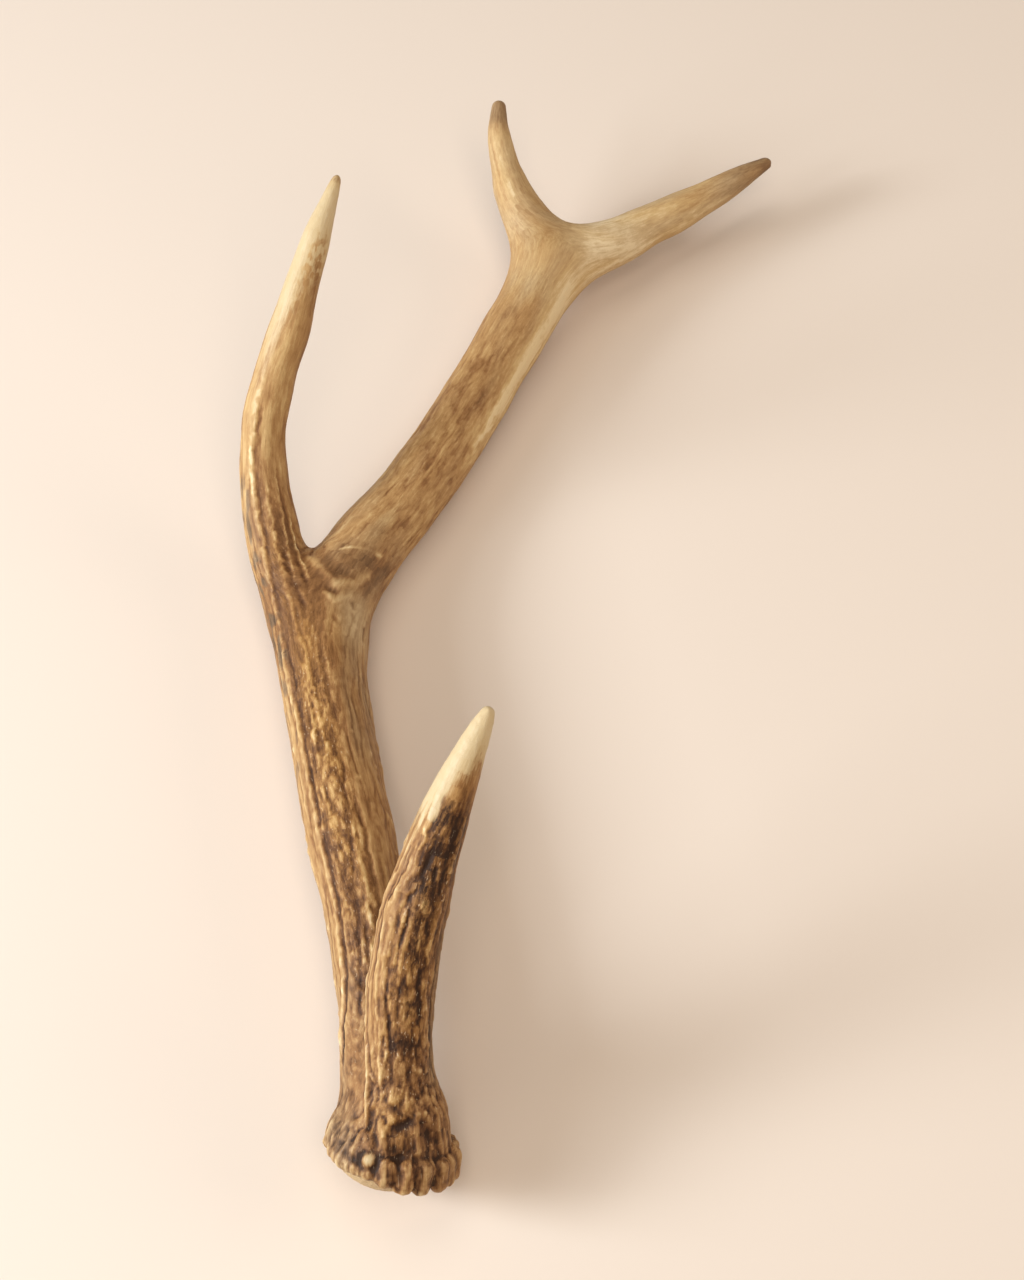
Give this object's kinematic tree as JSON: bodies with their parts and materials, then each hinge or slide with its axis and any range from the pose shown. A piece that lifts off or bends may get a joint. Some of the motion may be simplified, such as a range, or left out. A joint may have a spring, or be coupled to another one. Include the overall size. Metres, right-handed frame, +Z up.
{
  "type": "deer antler",
  "caption": "Ridged, branching antler lying on its side: knobbed burr, curved beam, a tine near the base, a second tine at the middle fork and a forked top.",
  "frame": {"origin": "on the surface the antler lies on, under the middle of its bounding box", "axes": "+Y from the burr towards the top fork, +Z up from the surface, +X to the side the upper beam leans to"},
  "size_m": [0.2335, 0.502, 0.1326],
  "materials": {
    "lower_beam": "satin",
    "brow_tine": "satin",
    "trez_tine": "satin",
    "upper_beam": "satin",
    "inner_tine": "satin",
    "outer_tine": "satin"
  },
  "bodies": {
    "root": {"lower_beam": "lower_beam", "brow_tine": "brow_tine", "trez_tine": "trez_tine", "upper_beam": "upper_beam", "inner_tine": "inner_tine", "outer_tine": "outer_tine"}
  },
  "joints": []
}
